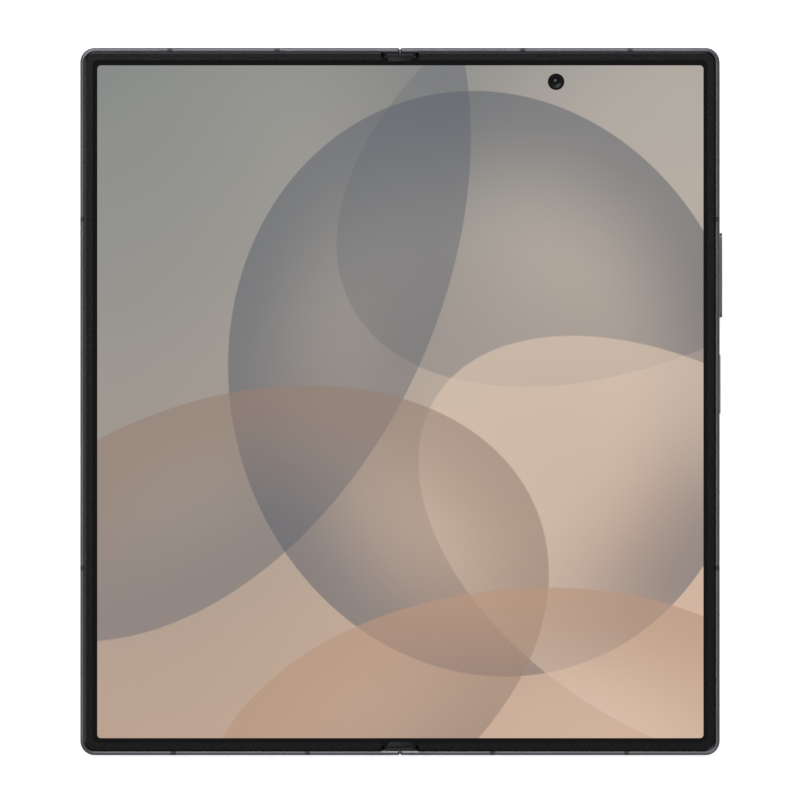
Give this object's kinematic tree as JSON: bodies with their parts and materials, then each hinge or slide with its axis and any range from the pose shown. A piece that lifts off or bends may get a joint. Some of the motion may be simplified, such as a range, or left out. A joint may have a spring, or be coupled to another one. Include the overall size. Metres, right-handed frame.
{
  "type": "foldable smartphone",
  "caption": "Book-style foldable phone, open flat, with a geared spine hinge, inner folding display, outer display, side keys, card tray and rear cameras.",
  "frame": {"origin": "below the middle of the fold line, on the ground plane that the lens rings stand on", "axes": "+Y along the fold towards the top edge, +Z out of the inner display, +X towards the rear (camera) half's outer edge"},
  "size_m": [0.1438, 0.1584, 0.0066],
  "materials": {
    "frame_metal": "satin, anodised gunmetal",
    "break_plastic": "satin",
    "inner_metal": "machined",
    "back_glass": "satin etched",
    "trim_plastic": "matt",
    "display": "gloss, lit",
    "island_metal": "satin",
    "ring_metal": "turned, bright edge",
    "lens_glass": "gloss",
    "camera_body": "satin",
    "diffuser": "frosted",
    "board": "solder mask",
    "shield": "tin-plated",
    "cell_wrap": "foil pouch in black film",
    "copper": "enamelled copper",
    "steel": "satin",
    "black_plastic": "fine texture",
    "switch_flex": "polyimide",
    "hinge_metal": "sintered",
    "gear_metal": "hardened",
    "screw_metal": "black zinc",
    "cover_glass": "gloss"
  },
  "bodies": {
    "rear_half": {"rear_frame": "frame_metal", "rear_antenna_breaks": "break_plastic", "rear_midplate": "inner_metal", "rear_back_glass": "back_glass", "rear_bezel_trim": "trim_plastic", "main_display_right": "display", "camera_island": "island_metal", "lens_rings": "ring_metal", "lens_covers": "lens_glass", "camera_modules": "camera_body", "flash_window": "diffuser", "inner_camera": "camera_body", "main_board": "board", "board_shields": "shield", "rear_battery": "cell_wrap", "charging_coil": "copper", "usb_port": "steel", "loudspeaker": "black_plastic", "vibration_motor": "shield", "key_switches": "switch_flex", "rear_hinge_brackets": "hinge_metal", "rear_hinge_screws": "screw_metal"},
    "volume_key": {"volume_key": "frame_metal"},
    "power_key": {"power_key": "frame_metal"},
    "rear_wing_plate": {"rear_wing_plate": "steel"},
    "spine": {"spine_cover": "frame_metal", "hinge_bases": "hinge_metal", "spine_end_caps": "frame_metal", "end_protectors": "trim_plastic", "gear_shafts": "gear_metal", "friction_washers": "steel", "main_display_fold": "display"},
    "floor_plate": {"floor_plate": "steel"},
    "rear_idler_gears": {"rear_idler_gears": "gear_metal"},
    "cover_idler_gears": {"cover_idler_gears": "gear_metal"},
    "rear_sync_arms": {"rear_sync_arms": "gear_metal"},
    "cover_sync_arms": {"cover_sync_arms": "gear_metal"},
    "cover_half": {"cover_frame": "frame_metal", "cover_antenna_breaks": "break_plastic", "cover_midplate": "inner_metal", "cover_glass": "cover_glass", "cover_display": "black_plastic", "cover_bezel_trim": "trim_plastic", "main_display_left": "display", "cover_camera": "camera_body", "earpiece": "black_plastic", "cover_battery": "cell_wrap", "sub_board": "board", "card_socket": "steel", "cover_hinge_brackets": "hinge_metal", "cover_hinge_screws": "screw_metal"},
    "card_tray": {"card_tray": "frame_metal"},
    "cover_wing_plate": {"cover_wing_plate": "steel"}
  },
  "joints": [
    {"name": "spine_fold", "type": "hinge", "parent": "rear_half", "child": "spine", "pos_m": [0.00125, 0, 0.0056], "axis": [0, 1, 0], "range_deg": [0, 90], "deforming": ["main_display_fold"]},
    {"name": "cover_fold", "type": "hinge", "parent": "spine", "child": "cover_half", "pos_m": [-0.00125, 0, 0.0056], "axis": [0, 1, 0], "range_deg": [0, 90]},
    {"name": "volume_press", "type": "slide", "parent": "rear_half", "child": "volume_key", "axis": [-1, 0, 0], "range_m": [0, 0.0003], "stiffness_N_per_m": 1500},
    {"name": "power_press", "type": "slide", "parent": "rear_half", "child": "power_key", "axis": [-1, 0, 0], "range_m": [0, 0.00015], "stiffness_N_per_m": 1500},
    {"name": "rear_wing_tilt", "type": "hinge", "parent": "rear_half", "child": "rear_wing_plate", "pos_m": [0.0069, 0, 0.00568], "axis": [0, 1, 0], "range_deg": [-12.7, 0]},
    {"name": "floor_plate_drop", "type": "slide", "parent": "spine", "child": "floor_plate", "axis": [0, 0, -1], "range_m": [0, 0.0005]},
    {"name": "rear_idler_spin", "type": "hinge", "parent": "spine", "child": "rear_idler_gears", "pos_m": [0.0006, 0, 0.00433], "axis": [0, 1, 0], "range_deg": [0, 90]},
    {"name": "cover_idler_spin", "type": "hinge", "parent": "spine", "child": "cover_idler_gears", "pos_m": [-0.0006, 0, 0.00433], "axis": [0, 1, 0], "range_deg": [-90, 0]},
    {"name": "rear_sync_spin", "type": "hinge", "parent": "spine", "child": "rear_sync_arms", "pos_m": [0.0018, 0, 0.00433], "axis": [0, 1, 0], "range_deg": [-90, 0]},
    {"name": "cover_sync_spin", "type": "hinge", "parent": "spine", "child": "cover_sync_arms", "pos_m": [-0.0018, 0, 0.00433], "axis": [0, 1, 0], "range_deg": [0, 90]},
    {"name": "card_tray_slide", "type": "slide", "parent": "cover_half", "child": "card_tray", "axis": [-1, 0, 0], "range_m": [0, 0.022]},
    {"name": "cover_wing_tilt", "type": "hinge", "parent": "cover_half", "child": "cover_wing_plate", "pos_m": [-0.0069, 0, 0.00568], "axis": [0, 1, 0], "range_deg": [0, 12.7]}
  ],
  "couplings": [
    {"joint": "cover_fold", "follows": "spine_fold", "ratio": 1},
    {"joint": "rear_wing_tilt", "follows": "spine_fold", "ratio": -0.1411},
    {"joint": "cover_wing_tilt", "follows": "spine_fold", "ratio": 0.1411},
    {"joint": "floor_plate_drop", "follows": "spine_fold", "m_per_rad": 0.000318},
    {"joint": "rear_idler_spin", "follows": "spine_fold", "ratio": 1},
    {"joint": "cover_idler_spin", "follows": "spine_fold", "ratio": -1},
    {"joint": "rear_sync_spin", "follows": "spine_fold", "ratio": -1},
    {"joint": "cover_sync_spin", "follows": "spine_fold", "ratio": 1}
  ]
}
